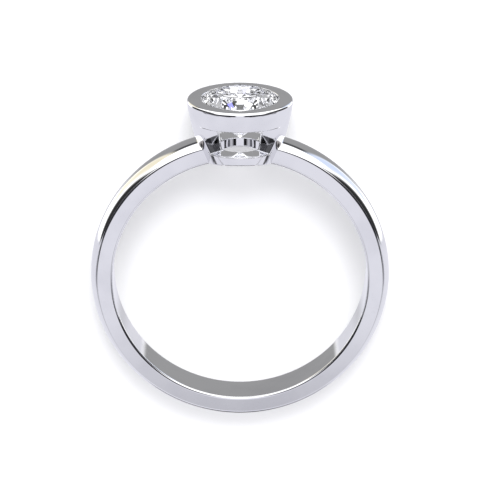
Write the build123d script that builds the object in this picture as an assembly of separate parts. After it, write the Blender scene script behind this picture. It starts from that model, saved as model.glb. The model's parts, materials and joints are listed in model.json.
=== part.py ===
from build123d import *
import os
from math import asin, atan2, cos, degrees, hypot, radians, sin, sqrt, tan

# A bezel-set solitaire ring, in millimetres. Each piece is drawn upright: the finger hole's centre is
# the origin, X is across the ring, Y along the finger, Z towards the stone. At the end the pieces are
# turned together so that the ring lies on its side on the plane Z = 0, as it rests on a table.

# Band
finger_radius = 8.5
band_width = 2.8
band_thickness = 1.5
band_dome_rise = 0.4
band_inside_round = 0.17
band_shoulder_round = 0.2

# Stone
stone_diameter = 5.4
table_share = 0.6
crown_angle = 34.0
pavilion_angle = 40.75
girdle_thickness = 0.15
star_share = 0.5
lower_half_share = 0.77
culet_flat = 0.02
culet_above_finger = 1.09
mains = 8

# Setting
seat_gap = 0.04
cup_wall = 0.77
lip_overlap = 0.15
lip_thickness = 0.18
rim_round = 0.25
cup_band = 1.365
base_radius = 2.54
base_thickness = 0.65
wall_bulge = 0.13
culet_hole_radius = 1.45
culet_hole_rise = 0.3

# Gallery: a slot through under the cup, and arched windows that widen outwards from their root in it
slot_foot = 1.19
slot_lean = 8.7
window_crown_drop = 0.02
window_arch_radius = 3.4
window_root = 0.6
window_foot = 1.93
window_foot_depth = 1.97
window_lean = 22.7
window_splay = 45.5

# The shallow recess that leaves a fine step under the cup, and the chamfer under the legs' feet
recess_depth = 0.1
recess_reach = 2.62
foot_chamfer = 0.16
panel_foot = 1.0
panel_lean = 34.0

# How far cutting solids run past what they cut
past = 1.0

# Stone levels, above the finger hole's centre
stone_radius = stone_diameter / 2
culet_level = finger_radius + culet_above_finger
girdle_low = culet_level + stone_radius * tan(radians(pavilion_angle))
girdle_high = girdle_low + girdle_thickness
table_radius = stone_radius * table_share
table_level = girdle_high + (stone_radius - table_radius) * tan(radians(crown_angle))
half_step = 180.0 / mains

# Where two kites, and two pavilion mains, meet at their side corners
table_edge = table_radius * cos(radians(half_step))
star_reach = table_edge + star_share * (stone_radius - table_edge)
star_level = table_level - (star_reach * cos(radians(half_step)) - table_radius) * tan(radians(crown_angle))
lower_reach = stone_radius * (1 - lower_half_share)
lower_level = culet_level + lower_reach * cos(radians(half_step)) * tan(radians(pavilion_angle))

# The steepest lines on the stone, which the metal beside it follows
crown_slope = (star_level - girdle_high) / (stone_radius - star_reach)
pavilion_slope = (girdle_low - lower_level) / (stone_radius - lower_reach)

# Setting levels and radii
seat_radius = stone_radius + seat_gap
lip_radius = stone_radius - lip_overlap
lip_underside = girdle_high + seat_gap + lip_overlap * crown_slope
rim_level = lip_underside + lip_thickness
rim_radius = seat_radius + cup_wall
seat_tip = girdle_low - seat_gap - seat_radius * pavilion_slope
sill_level = finger_radius + base_thickness
cup_bottom = rim_level - cup_band
window_crown = cup_bottom - window_crown_drop

# The wall's outside is one arc from the base to the rim, through a middle that bulges outwards
wall_chord = hypot(rim_radius - base_radius, rim_level - finger_radius)
wall_arc_radius = (wall_chord**2 / 4 + wall_bulge**2) / (2 * wall_bulge)
wall_sink = wall_arc_radius - wall_bulge
wall_centre_out = (rim_radius + base_radius) / 2 - wall_sink * (rim_level - finger_radius) / wall_chord
wall_centre_level = (rim_level + finger_radius) / 2 + wall_sink * (rim_radius - base_radius) / wall_chord


def polar(reach, azimuth, level):
    """A point at a distance and a compass angle round the stone's axis."""
    return Vector(reach * cos(radians(azimuth)), reach * sin(radians(azimuth)), level)


def facet(a, b, c):
    """The plane through three points, facing away from the middle of the stone."""
    normal = (b - a).cross(c - a).normalized()
    middle = Vector(0, 0, girdle_low)
    if normal.dot(a - middle) < 0:
        normal = normal * -1
    return Plane(origin=a, z_dir=normal)


def ring_profile():
    """Half section of the band in the plane Y-Z, at the top of the ring."""
    side = finger_radius + band_thickness - band_dome_rise
    crown = finger_radius + band_thickness
    half = band_width / 2
    outline = Wire(
        [
            Line((0, -half, finger_radius), (0, half, finger_radius)),
            Line((0, half, finger_radius), (0, half, side)),
            ThreePointArc((0, half, side), (0, 0, crown), (0, -half, side)),
            Line((0, -half, side), (0, -half, finger_radius)),
        ]
    )
    face = Face(outline)
    inner = [v for v in face.vertices() if v.Z < side - band_inside_round]
    face = face.fillet_2d(band_inside_round, inner)
    outer = [v for v in face.vertices() if abs(v.Z - side) < 0.001 and abs(abs(v.Y) - half) < 0.001]
    return face.fillet_2d(band_shoulder_round, outer)


def band():
    return revolve(ring_profile(), Axis.Y, 360)


def wall_radius(level):
    """Outside radius of the setting's wall at a level."""
    return wall_centre_out + sqrt(wall_arc_radius**2 - (level - wall_centre_level) ** 2)


def wall_profile(growth):
    """Half section of the solid setting, wider by growth all the way up, from below the base."""
    foot = finger_radius - past
    half_way = (foot + rim_level) / 2
    start, middle, end = (wall_radius(level) + growth for level in (foot, half_way, rim_level))
    outline = Wire(
        [
            Line((0, 0, foot), (start, 0, foot)),
            ThreePointArc((start, 0, foot), (middle, 0, half_way), (end, 0, rim_level)),
            Line((end, 0, rim_level), (0, 0, rim_level)),
            Line((0, 0, rim_level), (0, 0, foot)),
        ]
    )
    return Face(outline)


def envelope():
    """The solid of revolution that the setting is cut from, with its rim rounded."""
    profile = wall_profile(0)
    rim = [v for v in profile.vertices() if v.X > lip_radius and v.Z > rim_level - rim_round]
    return revolve(profile.fillet_2d(rim_round, rim), Axis.Z, 360)


def seat():
    """What is hollow round the stone: a cone under it, the girdle's groove and the lip's opening."""
    top = rim_level + past
    points = [
        (0, 0, seat_tip),
        (seat_radius, 0, girdle_low - seat_gap),
        (seat_radius, 0, girdle_high),
        (lip_radius, 0, lip_underside),
        (lip_radius, 0, top),
        (0, 0, top),
    ]
    return revolve(Face(Polyline(*points, close=True)), Axis.Z, 360)


def culet_hole():
    """A round hole up through the base, which also scoops the legs a little above it."""
    height = base_thickness + culet_hole_rise + past
    hole = Cylinder(culet_hole_radius, height, align=(Align.CENTER, Align.CENTER, Align.MIN))
    return Pos(0, 0, finger_radius - past) * hole


def wedge(foot, lean, low, high, near, far, splay):
    """A flared block along -Y between two levels, foot being its half width at the low level and near.

    It widens by lean with height and by splay with depth, both as angles in degrees.
    """
    sections = []
    for depth in (near, far):
        at_foot = foot + (depth - near) * tan(radians(splay))
        at_head = at_foot + (high - low) * tan(radians(lean))
        right = [(at_foot, -depth, low), (at_head, -depth, high)]
        left = [(-at_head, -depth, high), (-at_foot, -depth, low)]
        sections.append(Face(Polyline(*right, *left, close=True)))
    return loft(sections, ruled=True)


def slot():
    """The straight way through the gallery along Y, between the legs and under the cup."""
    reach = rim_radius + past
    return wedge(slot_foot, slot_lean, sill_level, cup_bottom, -reach, reach, 0)


def window():
    """One gallery window: a flat sill, an arched top and splayed sides, open towards -Y."""
    foot = window_foot - (window_foot_depth - window_root) * tan(radians(window_splay))
    reach = rim_radius + past
    flare = wedge(foot, window_lean, sill_level, cup_bottom + past, window_root, reach, window_splay)
    arch = Cylinder(window_arch_radius, 2 * reach, rotation=(90, 0, 0))
    return flare & (Pos(0, 0, window_crown - window_arch_radius) * arch)


def cup_recess():
    """What is taken off below the cup, so that the cup's lower edge stands out as a fine step.

    It is deepest in the middle and runs out to nothing at its reach on either side.
    """
    edge = wall_radius(cup_bottom)
    side_depth = sqrt(edge**2 - recess_reach**2)
    front = edge - recess_depth
    shift = (recess_reach**2 + side_depth**2 - front**2) / (2 * (front - side_depth))
    keep = revolve(wall_profile(front + shift - edge), Axis.Z, 360)
    height = cup_bottom - sill_level
    block = Box(4 * edge, 2 * edge, height, align=(Align.CENTER, Align.MAX, Align.MIN))
    return Pos(0, 0, sill_level) * block - Pos(0, shift, 0) * keep


def foot_cut():
    """A chamfer round the base's lower edge, which stops at a flared panel in the middle of each side."""
    low = finger_radius - past / 2
    start = wall_radius(sill_level)
    end = wall_radius(finger_radius) - foot_chamfer
    slope = (start - end) / (sill_level - finger_radius)
    outer = start + past
    points = [
        (start, 0, sill_level),
        (start - slope * (sill_level - low), 0, low),
        (outer, 0, low),
        (outer, 0, sill_level),
    ]
    ring = revolve(Face(Polyline(*points, close=True)), Axis.Z, 360)
    panel = wedge(panel_foot, panel_lean, low, sill_level + past, -2 * outer, 2 * outer, 0)
    return ring - panel


def setting():
    """The bezel cup, its legs and its base."""
    finger = Cylinder(finger_radius, 4 * rim_radius, rotation=(90, 0, 0))
    solid = envelope() - finger - seat() - culet_hole() - slot() - foot_cut()
    for cut in (window(), cup_recess()):
        solid = solid - cut - mirror(cut, Plane.XZ)
    return solid


def bezel_ring():
    """The band ends on the setting's wall, where it is soldered on."""
    return (band() - envelope() + setting()).solid()


def diamond():
    """A round brilliant, cut facet by facet from a cylinder of the girdle's size."""
    height = table_level - culet_level - culet_flat
    stone = Cylinder(stone_radius, height, align=(Align.CENTER, Align.CENTER, Align.MIN))
    stone = Pos(0, 0, culet_level + culet_flat) * stone
    planes = []
    for k in range(mains):
        at = 2 * half_step * k
        planes.append(
            facet(
                polar(stone_radius, at, girdle_high),
                polar(star_reach, at + half_step, star_level),
                polar(star_reach, at - half_step, star_level),
            )
        )
        planes.append(
            facet(
                polar(table_radius, at, table_level),
                polar(table_radius, at + 2 * half_step, table_level),
                polar(star_reach, at + half_step, star_level),
            )
        )
        planes.append(
            facet(
                polar(stone_radius, at, girdle_low),
                polar(lower_reach, at + half_step, lower_level),
                polar(lower_reach, at - half_step, lower_level),
            )
        )
        for side in (-1, 1):
            turn = at + side * half_step
            planes.append(
                facet(
                    polar(stone_radius, at, girdle_high),
                    polar(stone_radius, turn, girdle_high),
                    polar(star_reach, turn, star_level),
                )
            )
            planes.append(
                facet(
                    polar(stone_radius, at, girdle_low),
                    polar(stone_radius, turn, girdle_low),
                    polar(lower_reach, turn, lower_level),
                )
            )
    for plane in planes:
        stone = split(stone, bisect_by=plane, keep=Keep.BOTTOM)
    return stone.solid()


def resting_place():
    """Tilt in degrees and height of the finger hole's centre when the ring lies on its side.

    It rests on the band's outer corner opposite the stone and on the bezel's rounded rim. Both are
    circles in the plane X = 0, and the table is their common tangent.
    """
    dome = ((band_width / 2) ** 2 + band_dome_rise**2) / (2 * band_dome_rise)
    across = band_width / 2 - band_shoulder_round
    out = finger_radius + band_thickness - dome + sqrt((dome - band_shoulder_round) ** 2 - across**2)
    rim_up = rim_level - rim_round
    rim_out = wall_centre_out + sqrt((wall_arc_radius - rim_round) ** 2 - (rim_up - wall_centre_level) ** 2)
    along = out + rim_up
    lift = rim_out - across
    tilt = atan2(lift, along) + asin((rim_round - band_shoulder_round) / hypot(lift, along))
    height = out * sin(tilt) + across * cos(tilt) + band_shoulder_round
    return degrees(tilt), height


def laid_down(pieces):
    """Every piece turned onto its side, with the whole ring centred over the origin."""
    tilt, height = resting_place()
    turned = {name: Pos(0, 0, height) * Rot(tilt - 90, 0, 0) * piece for name, piece in pieces.items()}
    box = Compound(list(turned.values())).bounding_box()
    middle = box.center()
    print("tilt", round(tilt, 3), "height", round(height, 4), "middle", round(middle.Y, 4))
    print("lowest", round(box.min.Z, 4), "size", box.size)
    return {name: Pos(-middle.X, -middle.Y, 0) * piece for name, piece in turned.items()}


os.makedirs("parts", exist_ok=True)
for name, piece in laid_down({"bezel_ring": bezel_ring(), "diamond": diamond()}).items():
    print(name, "volume", round(piece.volume, 3), "faces", len(piece.faces()))
    export_step(piece, f"parts/{name}.step")
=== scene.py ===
import json
import math

import bpy
import numpy as np
from mathutils import Matrix, Vector


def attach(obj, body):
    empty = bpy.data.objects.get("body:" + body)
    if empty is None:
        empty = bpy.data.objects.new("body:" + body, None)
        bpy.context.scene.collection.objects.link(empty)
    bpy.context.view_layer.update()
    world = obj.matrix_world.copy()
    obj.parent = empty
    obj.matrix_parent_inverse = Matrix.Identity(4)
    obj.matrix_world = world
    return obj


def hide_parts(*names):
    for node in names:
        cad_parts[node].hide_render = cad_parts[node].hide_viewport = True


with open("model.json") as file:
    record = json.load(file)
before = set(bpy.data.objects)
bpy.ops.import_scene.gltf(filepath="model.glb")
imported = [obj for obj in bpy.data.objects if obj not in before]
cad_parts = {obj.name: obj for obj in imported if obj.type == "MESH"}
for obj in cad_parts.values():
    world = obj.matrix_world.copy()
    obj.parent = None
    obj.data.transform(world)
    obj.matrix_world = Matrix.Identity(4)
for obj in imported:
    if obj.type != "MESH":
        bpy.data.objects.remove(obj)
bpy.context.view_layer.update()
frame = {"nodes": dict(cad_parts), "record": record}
mm = 0.001

# The ring lies on its side. Its own directions come from the finger hole's mount: across is along X,
# front points out of the hole on the side that shows, up points from the hole to the stone.
mount = frame["record"]["mounts"][0]
holeCentre = Vector(mount["pos_m"])
across = Vector((1, 0, 0))
front = Vector(mount["axis"]).normalized()
up = front.cross(across)


class Wire:  # one output of a node, so that node maths reads as sums
    def __init__(self, tree, socket):
        self.tree, self.socket = tree, socket

    def math(self, operation, *others):
        return self.tree.node("ShaderNodeMath", {"operation": operation}, dict(enumerate((self, *others))))

    def __add__(self, other):
        return self.math("ADD", other)

    def __mul__(self, other):
        return self.math("MULTIPLY", other)

    def __sub__(self, other):
        return self.math("SUBTRACT", other)

    def __rsub__(self, other):
        return self.tree.node("ShaderNodeMath", {"operation": "SUBTRACT"}, {0: other, 1: self})

    def __abs__(self):
        return self.math("ABSOLUTE")

    __radd__, __rmul__ = __add__, __mul__


class Graph:  # a node tree that is filled from Python
    def __init__(self, tree):
        self.tree = tree
        tree.nodes.clear()

    def node(self, kind, settings=None, sockets=None, output=0):
        made = self.tree.nodes.new(kind)
        for name, value in (settings or {}).items():
            setattr(made, name, value)
        for key, value in (sockets or {}).items():
            if isinstance(value, Wire):
                self.tree.links.new(value.socket, made.inputs[key])
            else:
                made.inputs[key].default_value = value
        return Wire(self, made.outputs[output]) if len(made.outputs) else made

    def smooth(self, value, low, high):  # 0 below low, 1 above high, eased between
        limits = {0: value, 1: low, 2: high}
        return self.node("ShaderNodeMapRange", {"interpolation_type": "SMOOTHSTEP"}, limits)

    def between(self, value, low, high, soft):  # 1 inside the two limits, with soft edges centred on them
        rise = self.smooth(value, low - soft / 2, low + soft / 2)
        return rise * (1 - self.smooth(value, high - soft / 2, high + soft / 2))

    def blend(self, factor, first, second):  # mixes two colours
        return self.node("ShaderNodeMix", {"data_type": "RGBA"}, {0: factor, 6: first, 7: second}, 2)

    def dot(self, vector, other):
        return self.node("ShaderNodeVectorMath", {"operation": "DOT_PRODUCT"}, {0: vector, 1: other}, "Value")


def newMaterial(name):
    material = bpy.data.materials.new(name)
    material.use_nodes = True
    return material, Graph(material.node_tree)


# White gold, mirror polished: fine hairlines and a faint haze show only in the gloss
whiteGold = {
    "colour": (0.86, 0.86, 0.875, 1),
    "hazeColour": (0.80, 0.80, 0.82, 1),
    "roughness": 0.03,
    "hazeRoughness": 0.03,
    "hairRoughness": 0.05,
    "hazeScale": 260,
    "hazeDetail": 3,
    "hazeGrain": 0.55,
    "hazeSpread": (0.42, 0.68),  # from where to where in the noise the haze comes in
    "hairScale": 9000,
    "hairDetail": 1,
    "hairGrain": 0.5,
    "hairSpread": (0.62, 0.74),
    "hairStretch": 0.04,
    "hairTurns": ((0.35, 0.15, 0.28), (-0.6, 1.1, -0.48)),  # two families of hairlines, in radians
    "hairDepth": 0.00000004,
}


def makeWhiteGold(name, values):
    material, graph = newMaterial(name)
    place = graph.node("ShaderNodeTexCoord", output="Object")

    def noise(vector, kind):  # the noise of the haze or of one family of hair, between 0 and 1
        sockets = {
            "Vector": vector, "Scale": values[kind + "Scale"], "Detail": values[kind + "Detail"],
            "Roughness": values[kind + "Grain"],
        }
        made = graph.node("ShaderNodeTexNoise", {"noise_dimensions": "3D"}, sockets)
        return graph.smooth(made, *values[kind + "Spread"])

    haze = noise(place, "haze")
    hair = None
    for turn in values["hairTurns"]:  # each family is drawn out along its own direction
        along = graph.node(
            "ShaderNodeMapping", {"vector_type": "TEXTURE"},
            {"Vector": place, "Rotation": turn, "Scale": (1, 1, 1 / values["hairStretch"])},
        )
        lines = noise(along, "hair")
        hair = lines if hair is None else hair.math("MAXIMUM", lines)
    colour = graph.blend(haze, values["colour"], values["hazeColour"])
    roughness = values["roughness"] + haze * values["hazeRoughness"] + hair * values["hairRoughness"]
    bump = graph.node(
        "ShaderNodeBump", {"invert": True}, {"Strength": 1, "Distance": values["hairDepth"], "Height": hair}
    )
    shader = graph.node(
        "ShaderNodeBsdfPrincipled", None,
        {"Base Color": colour, "Metallic": 1, "Roughness": roughness, "Normal": bump},
    )
    graph.node("ShaderNodeOutputMaterial", None, {"Surface": shader})
    return material


# Diamond: clear, with the bend of real diamond. Its outside mirrors little, as through a polarising filter.
diamondGlass = {"colour": (0.985, 0.99, 1.0, 1), "bend": 2.417, "outsideMirror": (0.15, 0.15, 0.15, 1)}


def makeDiamond(name, values):
    material, graph = newMaterial(name)
    shader = graph.node(
        "ShaderNodeBsdfPrincipled", None,
        {"Base Color": values["colour"], "Roughness": 0, "IOR": values["bend"], "Transmission Weight": 1,
         "Specular Tint": values["outsideMirror"]},
    )
    graph.node("ShaderNodeOutputMaterial", None, {"Surface": shader})
    return material


def arc(centre, radius, start, end, steps):  # points along an arc, angles in degrees, both ends included
    angles = np.radians(np.linspace(start, end, steps + 1))
    return [(centre[0] + radius * math.cos(a), centre[1] + radius * math.sin(a)) for a in angles]


# The band, in millimetres
band = {
    "fingerRadius": 8.5,
    "width": 2.8,
    "thickness": 1.5,
    "domeRise": 0.4,
    "insideRound": 0.17,
    "shoulderRound": 0.2,
    "openHalfAngle": 11.3,  # where it ends inside the setting, from the middle of the stone's side
    "stepsAround": 900,
    "stepsAcrossDome": 36,
    "stepsInRound": 12,
    "support": 0.004,  # an extra point this far beside each round keeps the flats truly flat when shaded
}


def bandSection():  # outline of the band: how far out from the finger hole, and how far along it
    half = band["width"] / 2
    rise, inside, shoulder = band["domeRise"], band["insideRound"], band["shoulderRound"]
    support = band["support"]
    domeRadius = (half**2 + rise**2) / (2 * rise)
    domeCentre = band["thickness"] - domeRadius
    across = half - shoulder
    roundCentre = domeCentre + math.sqrt((domeRadius - shoulder) ** 2 - across**2)
    lean = math.degrees(math.asin(across / (domeRadius - shoulder)))  # where dome and shoulder meet
    steps = band["stepsInRound"]
    side = [(inside + support, half), (roundCentre - support, half)]
    upper = arc((inside, half - inside), inside, 180, 90, steps) + side
    upper += arc((roundCentre, across), shoulder, 90, lean, steps)
    dome = arc((domeCentre, 0), domeRadius, lean, -lean, band["stepsAcrossDome"])[1:-1]
    lower = [(out, -along) for out, along in reversed(upper)]
    flat = [(0, -half + inside + support), (0, half - inside - support)]
    return upper + dome + lower + flat


def sectionCurve():
    curve = bpy.data.curves.new("bandSection", "CURVE")
    points = bandSection()
    spline = curve.splines.new("POLY")
    spline.points.add(len(points) - 1)
    for point, (out, along) in zip(spline.points, points):
        point.co = (out * mm, along * mm, 0, 1)
    spline.use_cyclic_u = True
    section = bpy.data.objects.new("bandSection", curve)
    bpy.context.scene.collection.objects.link(section)
    return section


def bandTree():  # a section carried round an arc, with closed ends
    group = bpy.data.node_groups.new("sweptBand", "GeometryNodeTree")
    inputs = {
        "Section": "NodeSocketObject",
        "Finger Radius": "NodeSocketFloat",
        "Open Half Angle": "NodeSocketFloat",
        "Steps Around": "NodeSocketInt",
        "Material": "NodeSocketMaterial",
    }
    group.interface.new_socket("Geometry", in_out="INPUT", socket_type="NodeSocketGeometry")
    for name, kind in inputs.items():
        group.interface.new_socket(name, in_out="INPUT", socket_type=kind)
    group.interface.new_socket("Geometry", in_out="OUTPUT", socket_type="NodeSocketGeometry")
    graph = Graph(group)
    given = {name: graph.node("NodeGroupInput", output=name) for name in inputs}
    path = graph.node(
        "GeometryNodeCurveArc", {"mode": "RADIUS"},
        {"Resolution": given["Steps Around"], "Radius": given["Finger Radius"],
         "Start Angle": math.pi / 2 + given["Open Half Angle"],
         "Sweep Angle": 2 * math.pi - 2 * given["Open Half Angle"]},
    )
    section = graph.node("GeometryNodeObjectInfo", None, {"Object": given["Section"]}, "Geometry")
    swept = graph.node(
        "GeometryNodeCurveToMesh", None, {"Curve": path, "Profile Curve": section, "Fill Caps": True}
    )
    real = graph.node("GeometryNodeRealizeInstances", None, {"Geometry": swept})
    shown = graph.node("GeometryNodeSetMaterial", None, {"Geometry": real, "Material": given["Material"]})
    graph.node("NodeGroupOutput", None, {"Geometry": shown})
    return group


def bakeTree(group, values):  # runs a tree on an empty mesh and returns the result as a plain mesh
    holder = bpy.data.objects.new("holder", bpy.data.meshes.new("holder"))
    bpy.context.scene.collection.objects.link(holder)
    modifier = holder.modifiers.new("tree", "NODES")
    modifier.node_group = group
    for item in group.interface.items_tree:
        if item.in_out == "INPUT" and item.name in values:
            modifier[item.identifier] = values[item.name]
    seen = holder.evaluated_get(bpy.context.evaluated_depsgraph_get())
    mesh = bpy.data.meshes.new_from_object(seen)
    bpy.data.objects.remove(holder)
    return mesh


def asPiece(name, mesh):
    piece = bpy.data.objects.new(name, mesh)
    bpy.context.scene.collection.objects.link(piece)
    return piece


def intoPlace():  # from the upright ring, X across, Y along the finger away from the front, Z up, in metres
    turn = Matrix((across, -front, up)).transposed().to_4x4()
    return Matrix.Translation(holeCentre) @ turn


def makeBand(material):
    section = sectionCurve()
    mesh = bakeTree(bandTree(), {
        "Section": section, "Finger Radius": band["fingerRadius"] * mm,
        "Open Half Angle": math.radians(band["openHalfAngle"]),
        "Steps Around": band["stepsAround"], "Material": material,
    })
    bpy.data.objects.remove(section)
    mesh.transform(Matrix.Rotation(math.pi / 2, 4, "X"))  # from the sweep's plane, X and Y, to X and Z
    mesh.transform(intoPlace())
    mesh.name = "band"
    mesh.shade_smooth()
    print("band", len(mesh.vertices), "points")
    return asPiece("band", mesh)


# The setting, in millimetres and degrees, all levels measured up from the finger hole's centre
bezel = {
    "stoneRadius": 2.7,
    "girdleLow": 11.916,
    "girdleHigh": 12.066,
    "pavilionSlope": 0.9172,  # the stone's fall for each millimetre inwards, next to the girdle
    "crownSlope": 0.6334,  # and its rise
    "seatGap": 0.04,
    "cupWall": 0.77,
    "lipOverlap": 0.15,
    "lipThickness": 0.18,
    "rimRound": 0.25,
    "cupBand": 1.365,
    "baseRadius": 2.54,
    "baseThickness": 0.65,
    "wallBulge": 0.13,
    "culetHoleRadius": 1.45,
    "culetHoleRise": 0.3,
    "slotFoot": 1.19,
    "slotLean": 8.7,
    "windowCrownDrop": 0.02,
    "windowArchRadius": 3.4,
    "windowRoot": 0.6,
    "windowFoot": 1.93,
    "windowFootDepth": 1.97,
    "windowLean": 22.7,
    "windowSplay": 45.5,
    "recessDepth": 0.1,
    "recessReach": 2.62,
    "grooveFoot": 1.235,
    "grooveLean": 27.0,
    "grooveWidth": 0.21,
    "grooveTaper": 0.2,
    "grooveBevel": 1.7,
    "grooveTop": 0.1,
    "edgeRound": 0.08,
    "cornerRound": 0.06,
    "hair": 0.004,  # the base stands this much back from the band's inside, so that the two never coincide
    "netStep": 0.036,
    "netMargin": 0.6,  # how far the net's box reaches past the girdle, and below the finger hole's top
    "netRounds": 2,
}


def meet(radius, *surfaces):  # what lies inside all of the surfaces, with a small round where two meet
    form = surfaces[0]
    for other in surfaces[1:]:
        rounded = np.hypot(np.maximum(form + radius, 0), np.maximum(other + radius, 0)) - radius
        form = np.where((form > -radius) & (other > -radius), rounded, np.maximum(form, other))
    return form


def revolved(x, y, outward, level, radius, height):  # distance to an arc turned round the stone's axis
    return np.hypot(np.hypot(x, y) - outward, height - level) - radius


def tan(degrees):
    return math.tan(math.radians(degrees))


def bezelForm(x, y, z):  # below 0 inside the metal, above 0 outside, in millimetres
    b = bezel
    finger = band["fingerRadius"]
    seatRadius = b["stoneRadius"] + b["seatGap"]
    lipRadius = b["stoneRadius"] - b["lipOverlap"]
    lipUnderside = b["girdleHigh"] + b["seatGap"] + b["lipOverlap"] * b["crownSlope"]
    rimLevel = lipUnderside + b["lipThickness"]
    rimRadius = seatRadius + b["cupWall"]
    seatTip = b["girdleLow"] - b["seatGap"] - seatRadius * b["pavilionSlope"]
    sill = finger + b["baseThickness"]
    cupBottom = rimLevel - b["cupBand"]
    edge, corner = b["edgeRound"], b["cornerRound"]

    # The wall is one arc from the base to the rim
    chord = math.hypot(rimRadius - b["baseRadius"], rimLevel - finger)
    arcRadius = (chord**2 / 4 + b["wallBulge"] ** 2) / (2 * b["wallBulge"])
    sink = arcRadius - b["wallBulge"]
    arcOut = (rimRadius + b["baseRadius"]) / 2 - sink * (rimLevel - finger) / chord
    arcLevel = (rimLevel + finger) / 2 + sink * (rimRadius - b["baseRadius"]) / chord

    def wallAt(level):
        return arcOut + math.sqrt(arcRadius**2 - (level - arcLevel) ** 2)

    reach = np.hypot(x, y)
    depth = np.abs(y)  # both sides of the ring are alike
    side = np.abs(x)
    form = meet(b["rimRound"], revolved(x, y, arcOut, arcLevel, arcRadius, z), z - rimLevel)

    def cut(tool, radius):
        nonlocal form
        form = meet(radius, form, -tool)

    # The shallow recess under the cup
    edgeRadius = wallAt(cupBottom)
    sideDepth = math.sqrt(edgeRadius**2 - b["recessReach"] ** 2)
    frontDepth = edgeRadius - b["recessDepth"]
    shift = (b["recessReach"] ** 2 + sideDepth**2 - frontDepth**2) / (2 * (frontDepth - sideDepth))
    keep = revolved(x, depth + shift, arcOut + frontDepth + shift - edgeRadius, arcLevel, arcRadius, z)
    cut(meet(corner / 2, z - cupBottom, sill - z, -keep), corner / 2)

    # Two bevelled grooves that set off a flared panel in the middle of each side of the base
    inside = -revolved(x, y, arcOut, arcLevel, arcRadius, z)
    outer = b["grooveFoot"] + (z - finger) * tan(b["grooveLean"])
    inner = outer - b["grooveWidth"] + (z - finger) * b["grooveTaper"]
    bevel = (side - outer + inside * b["grooveBevel"]) / math.hypot(1, b["grooveBevel"])
    cut(meet(corner / 2, bevel, inner - side, z - sill + b["grooveTop"]), corner / 2)

    # The arched windows, flared outwards
    spread = tan(b["windowSplay"])
    lean = tan(b["windowLean"])
    halfWidth = b["windowFoot"] + (depth - b["windowFootDepth"]) * spread + (z - sill) * lean
    flare = (side - halfWidth) / math.sqrt(1 + spread**2 + lean**2)
    crown = cupBottom - b["windowCrownDrop"]
    arch = np.hypot(x, z - crown + b["windowArchRadius"]) - b["windowArchRadius"]
    cut(meet(corner, flare, arch, sill - z, b["windowRoot"] - depth), edge)

    # The slot between the legs, under the cup
    slotSide = side - b["slotFoot"] - (z - sill) * tan(b["slotLean"])
    slotSide = slotSide * math.cos(math.radians(b["slotLean"]))
    cut(meet(corner, slotSide, z - cupBottom, sill - z), edge)

    # Round the stone: the cone under it, the girdle's groove and the lip's opening
    cone = ((seatTip - z) + reach * b["pavilionSlope"]) / math.hypot(1, b["pavilionSlope"])
    run, rise = seatRadius - lipRadius, lipUnderside - b["girdleHigh"]
    under = ((reach - seatRadius) * rise + (z - b["girdleHigh"]) * run) / math.hypot(rise, run)
    groove = meet(corner, cone, reach - seatRadius, under)
    cut(np.minimum(groove, meet(corner, cone, reach - lipRadius)), corner)

    # The culet hole and the finger hole
    cut(meet(corner, reach - b["culetHoleRadius"], z - sill - b["culetHoleRise"]), edge)
    cut(np.hypot(x, z) - finger - b["hair"], edge)
    return form


def gradient(form, points, step=1e-4):  # how steeply the form rises along X, Y and Z
    slopes = []
    for axis in range(3):
        ahead, behind = points.copy(), points.copy()
        ahead[:, axis] += step
        behind[:, axis] -= step
        slopes.append((form(*ahead.T) - form(*behind.T)) / (2 * step))
    return np.stack(slopes, axis=1)


def netOver(form, low, high, step):  # quads over a form, with one point in each cell that its surface crosses
    axes = [np.arange(a, b, step) for a, b in zip(low, high)]
    field = form(*np.meshgrid(*axes, indexing="ij"))
    cells = np.array(field.shape) - 1
    total = int(cells.prod())
    sums, counts, quads = np.zeros((3, total)), np.zeros(total), []
    for axis in range(3):
        u, v = (axis + 1) % 3, (axis + 2) % 3
        first = np.delete(field, -1, axis)
        second = np.delete(field, 0, axis)
        where = np.argwhere((first < 0) != (second < 0))
        inner = (where[:, u] > 0) & (where[:, v] > 0) & (where[:, u] < cells[u]) & (where[:, v] < cells[v])
        where = where[inner]
        start, end = first[tuple(where.T)], second[tuple(where.T)]
        crossing = where.astype(float)
        crossing[:, axis] += start / (start - end)
        corners = []
        for du, dv in ((0, 0), (-1, 0), (-1, -1), (0, -1)):  # the four cells round the crossed edge
            cell = where.copy()
            cell[:, u] += du
            cell[:, v] += dv
            index = np.ravel_multi_index(tuple(cell.T), tuple(cells))
            counts += np.bincount(index, minlength=total)
            for k in range(3):
                sums[k] += np.bincount(index, crossing[:, k], minlength=total)
            corners.append(index)
        quad = np.stack(corners, axis=1)
        quad[start > 0] = quad[start > 0][:, ::-1]
        quads.append(quad)
    used, quads = np.unique(np.concatenate(quads), return_inverse=True)
    points = (sums[:, used] / counts[used]).T * step + np.array(low)
    return points, quads.reshape(-1, 4)


def settle(form, points, quads, rounds, leastSteep=0.25):  # evens the net out, and sets it on the surface
    ends = np.concatenate([quads[:, [k, (k + 1) % 4]] for k in range(4)])
    ends = np.concatenate([ends, ends[:, ::-1]])
    here, there = ends.T
    share = np.bincount(here, minlength=len(points))
    for turn in range(rounds + 2):  # the last two turns only set it on the surface
        if turn < rounds:
            around = [np.bincount(here, points[there, k], len(points)) for k in range(3)]
            points = (points + np.stack(around, axis=1) / share[:, None]) / 2
        slope = gradient(form, points)
        steep = np.maximum((slope**2).sum(axis=1), leastSteep)
        points = points - (form(*points.T) / steep)[:, None] * slope
    return points


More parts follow.
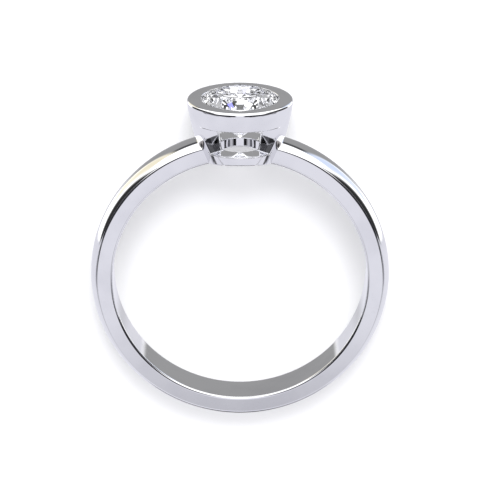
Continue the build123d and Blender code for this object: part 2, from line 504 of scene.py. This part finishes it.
def makeBezel(material):
    step, margin = bezel["netStep"], bezel["netMargin"]
    rimRadius = bezel["stoneRadius"] + bezel["seatGap"] + bezel["cupWall"]
    reach = math.ceil(rimRadius / step + 2.5) * step + step / 2  # no row of the net lies in the middle planes
    low = (-reach, -reach, band["fingerRadius"] - margin)
    high = (reach + step / 2, reach + step / 2, bezel["girdleHigh"] + margin)
    points, quads = netOver(bezelForm, low, high, step)
    points = settle(bezelForm, points, quads, bezel["netRounds"])
    slope = gradient(bezelForm, points)
    normals = slope / np.linalg.norm(slope, axis=1)[:, None]
    turn = np.array(intoPlace().to_3x3())
    seam = bezel["girdleHigh"] - bezel["cupBand"]
    above = points[quads, 2].mean(axis=1) > seam
    made = []
    for name, part in (("cup", quads[above]), ("gallery", quads[~above])):
        used, faces = np.unique(part, return_inverse=True)
        mesh = bpy.data.meshes.new(name)
        mesh.from_pydata(points[used] * mm, [], faces.reshape(-1, 4))
        mesh.materials.append(material)
        mesh.transform(intoPlace())
        mesh.shade_smooth()
        mesh.normals_split_custom_set_from_vertices((normals[used] @ turn.T).tolist())
        print(name, len(mesh.vertices), "points", len(mesh.polygons), "faces")
        made.append(asPiece(name, mesh))
    return made


# The studio: a pale tent round the ring with cards in it. A card is placed by two angles, as seen from the
# ring. turn runs from overhead (0) to the front (90), underneath (180) or the back (-90). off is how far to
# one side of the ring's middle plane it stands, on both sides unless side names one. soft is the width of its
# edges. A slant widens it upwards, and under places it by the turn's size alone, in front and behind alike.
# seen says that it shows only in a first mirror image (1), or only where metal mirrors metal (2).
def card(turn, off, colour, soft=3, **more):
    return {"turn": turn, "off": off, "colour": colour, "soft": soft, **more}


studio = {
    "tent": (0.84, 0.84, 0.915),
    "metalCards": [
        card((-103, 50), (-20, 99), (1.7, 1.7, 1.7)),  # the main light
        card((50, 80), (-20, 11), (1.15, 1.15, 1.2), 24),  # its fading lower edge
        card((-104, 24), (53.5, 99), (0.035, 0.035, 0.036), 8, slant=-0.12, seen=1),
        card((24, 66), (48, 99), (0.11, 0.11, 0.12), 12, seen=1),
        # The next three show only where the metal mirrors itself: painted shade in the metal's hollows
        card((-42, 48), (46, 99), (0.50, 0.47, 0.46), 14, seen=2),  # grey upper sides
        card((-26, 6), (56, 72), (0.05, 0.05, 0.05), 8, seen=2),
        card((12, 60), (66, 99), (0.04, 0.04, 0.045), 6, seen=2),
        card((56, 104), (9, 86), (0.03, 0.03, 0.036), 6),  # black flags in front
        card((104, 121), (20, 76), (0.10, 0.10, 0.11), 4),
        card((104, 121), (19, 31), (0.008, 0.008, 0.009)),
        card((112, 133), (43, 68), (0.12, 0.12, 0.14), 4),
        card((136, 168), (64, 80), (0.10, 0.10, 0.115)),
        card((-108, -92), (-20, 27), (0.78, 0.78, 0.84), 5, seen=1),
        card((-106, -88), (-20, 17), (0.42, 0.42, 0.43), 8, seen=1),
        card((-92, -41), (-20, 30), (0.36, 0.36, 0.365), slant=0.08),  # grey wall
        card((-51, -41), (-20, 31), (0.08, 0.08, 0.085), 6, slant=0.08),
        card((-88, -40), (30, 47), (1.15, 1.10, 0.93), 8, side=-1, seen=1),
        card((-88, -40), (30, 47), (0.93, 1.0, 1.15), 8, side=1, seen=1),
        card((-70, -43), (31, 42), (1.05, 0.97, 0.75), 7, side=-1),  # cream and blue
        card((-70, -43), (31, 42), (0.78, 0.88, 1.10), 7, side=1),
        # A painted shadow: the floor's shade near the ring, as the band's sides mirror it
        card((113.5, 120), (-20, 99), (0.55, 0.55, 0.60)),
        # A painted shadow: the floor's shade under and behind the ring, as the bottom of the band's dome
        # mirrors it
        card((-190, -120), (-20, 6), (0.05, 0.05, 0.052), 9, seen=1),
        # A painted shadow: the ring's dark contact shadow on the floor right under it, as the metal mirrors
        # it
        card((166, 200), (-20, 25), (0.03, 0.03, 0.033), 7, under=True),
    ],
    "stoneTent": (1.65, 1.65, 1.68),
    "stoneCards": [
        card((2, 58), (-20, 32), (0.48, 0.48, 0.49), 8),
        card((-64, -42), (-20, 22), (0.28, 0.28, 0.29), 5),
        card((28, 74), (36, 70), (0.03, 0.03, 0.025), side=1),  # dark cards on one side
        card((-128, -112), (5, 18), (0.03, 0.03, 0.025), side=1),
        card((-152, -140), (5, 18), (0.03, 0.03, 0.025), side=1),
        card((-44, -30), (2, 16), (0.03, 0.03, 0.03)),
        card((-57, -43), (34, 48), (0.03, 0.03, 0.03)),
        card((-117, -103), (28, 42), (0.03, 0.03, 0.03)),
        card((6, 30), (6, 20), (0.14, 0.14, 0.15), side=-1),
        card((-66, -56), (-20, 5), (0.20, 0.20, 0.20)),
        card((-91, -77), (11, 23), (0.22, 0.27, 0.34), side=1),
        card((15, 31), (71, 88), (0.45, 0.45, 1.25), side=1),  # tints of its fire
        card((42, 54), (53, 65), (0.45, 0.45, 1.25), side=1),
        card((163, 179), (7, 19), (1.10, 1.10, 1.35), side=-1),
        card((-16, 14), (-20, 14), (0.12, 0.12, 0.125), 5),  # gives its arrows from the front
        card((138, 152), (-20, 5), (0.25, 0.25, 0.24)),
    ],
    "slantLevel": -70,  # the turn at which a slanted card has its stated width
    # Painted shade: the studio is darkened where the metal mirrors itself three times or more
    "deepShade": 0.15,  # how much is left of the studio's light in the metal's deepest corners
    "backdrop": (1.0, 1.0, 1.0),
    "floorReach": 3.0,
    "floorColour": (0.92, 0.92, 0.93, 1),
    "floorRoughness": 0.9,
    "paperScale": 900,
    "paperDetail": 4,
    "paperShade": 0.985,  # the paper's darkest specks against the rest of it
    "fill": (1.12, 1.12, 1.14),  # what lights the floor from all round
    "overheadSize": 0.3,
    "overheadPlace": (0.03, 0.40, 0.44),
    "overheadPower": 2.2,
}


def makeWorld():
    world = bpy.data.worlds.new("studio")
    bpy.context.scene.world = world
    world.use_nodes = True
    graph = Graph(world.node_tree)
    direction = graph.node("ShaderNodeTexCoord", output="Generated")
    towardsFront = graph.dot(direction, tuple(front))
    towardsUp = graph.dot(direction, tuple(up))
    around = towardsFront.math("ARCTAN2", towardsUp) * math.degrees(1)
    off = graph.dot(direction, tuple(across)).math("ARCSINE") * math.degrees(1)

    def path(output):
        return graph.node("ShaderNodeLightPath", output=output)

    def atLeast(depth, count):  # 1 where the light's path has made that many turns of a kind, 0 elsewhere
        return graph.smooth(path(depth), count - 0.6, count - 0.4)

    again = atLeast("Glossy Depth", 2)
    deep = atLeast("Glossy Depth", 3)

    def painted(tent, cards):
        colour = (*tent, 1)
        for each in cards:
            turned = abs(around) if "under" in each else around
            sideways = off * each["side"] if "side" in each else abs(off)
            if "slant" in each:
                sideways = sideways - (turned - studio["slantLevel"]) * each["slant"]
            mask = graph.between(turned, *each["turn"], each["soft"])
            mask = mask * graph.between(sideways, *each["off"], each["soft"])
            if "seen" in each:
                mask = mask * (again if each["seen"] == 2 else 1 - again)
            colour = graph.blend(mask, colour, (*each["colour"], 1))
        return colour

    metalSees = painted(studio["tent"], studio["metalCards"])
    # Painted shade: the metal's deepest corners, where it mirrors itself three times or more, turn towards
    # black
    metalSees = graph.blend(deep * (1 - studio["deepShade"]), metalSees, (0, 0, 0, 1))
    stoneSees = painted(studio["stoneTent"], studio["stoneCards"])
    colour = graph.blend(atLeast("Transmission Depth", 1), metalSees, stoneSees)
    colour = graph.blend(path("Is Diffuse Ray"), colour, (*studio["fill"], 1))
    colour = graph.blend(path("Is Camera Ray"), colour, (*studio["backdrop"], 1))
    shader = graph.node("ShaderNodeBackground", None, {"Color": colour})
    graph.node("ShaderNodeOutputWorld", None, {"Surface": shader})


def makeFloor():
    material, graph = newMaterial("paper")
    place = graph.node("ShaderNodeTexCoord", output="Object")
    scale, detail, shade = studio["paperScale"], studio["paperDetail"], studio["paperShade"]
    grain = graph.node("ShaderNodeTexNoise", None, {"Vector": place, "Scale": scale, "Detail": detail})
    plain = studio["floorColour"]
    specks = tuple(shade * part for part in plain[:3]) + (1,)
    gloss = {"Base Color": graph.blend(grain, plain, specks), "Roughness": studio["floorRoughness"]}
    shader = graph.node("ShaderNodeBsdfPrincipled", None, gloss)
    graph.node("ShaderNodeOutputMaterial", None, {"Surface": shader})
    reach = studio["floorReach"]
    corners = [(-reach, -reach, 0), (reach, -reach, 0), (reach, reach, 0), (-reach, reach, 0)]
    mesh = bpy.data.meshes.new("floor")
    mesh.from_pydata(corners, [], [(0, 1, 2, 3)])
    mesh.materials.append(material)
    floor = asPiece("floor", mesh)
    # Metal and stone mirror the tent all round, as in a light box with a clear table
    floor.visible_glossy = False
    floor.visible_transmission = False


def makeLight():
    light = bpy.data.lights.new("overhead", "AREA")
    light.size = studio["overheadSize"]
    light.energy = studio["overheadPower"]
    lamp = bpy.data.objects.new("overhead", light)
    lamp.location = studio["overheadPlace"]
    lamp.rotation_euler = (-Vector(lamp.location)).to_track_quat("-Z", "Y").to_euler()
    lamp.visible_glossy = False
    lamp.visible_transmission = False
    bpy.context.scene.collection.objects.link(lamp)


# The camera stands as in the photograph, seen from the ring. Its elevation is in degrees above the ring's
# own side, its distance and aim in millimetres, its limits in metres.
camera = {
    "elevation": 20.8,
    "distance": 180,
    "aimAboveHole": 2.4,
    "pixelsPerMm": 14.95,
    "imageWidth": 480,
    "sensor": 36,
    "nearest": 0.01,
    "farthest": 20,
}


def makeCamera():
    lens = bpy.data.cameras.new("camera")
    lens.sensor_width = camera["sensor"]
    lens.lens = camera["sensor"] * camera["pixelsPerMm"] * camera["distance"] / camera["imageWidth"]
    lens.clip_start = camera["nearest"]
    lens.clip_end = camera["farthest"]
    view = bpy.data.objects.new("camera", lens)
    angle = math.radians(camera["elevation"])
    away = front * math.cos(angle) + up * math.sin(angle)
    aim = holeCentre + up * camera["aimAboveHole"] * mm
    view.location = aim + away * camera["distance"] * mm
    view.rotation_euler = Matrix((across, away.cross(across), away)).transposed().to_euler()
    bpy.context.scene.collection.objects.link(view)
    bpy.context.scene.camera = view


bpy.context.scene.view_settings.view_transform = "Standard"
# Light turns many times inside the stone and the setting before it comes out
bpy.context.scene.cycles.max_bounces = 32
bpy.context.scene.cycles.glossy_bounces = 20
bpy.context.scene.cycles.transmission_bounces = 20
makeWorld()
makeFloor()
makeLight()
makeCamera()
print("studio and camera ready")

metal = makeWhiteGold("whiteGold", whiteGold)
for piece in (makeBand(metal), *makeBezel(metal)):
    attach(piece, "root")
    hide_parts("bezel_ring")
print("metal ready")

stone = frame["nodes"]["diamond"]
glass = makeDiamond("diamond", diamondGlass)
for place in stone.material_slots:
    place.material = glass
print("stone ready")
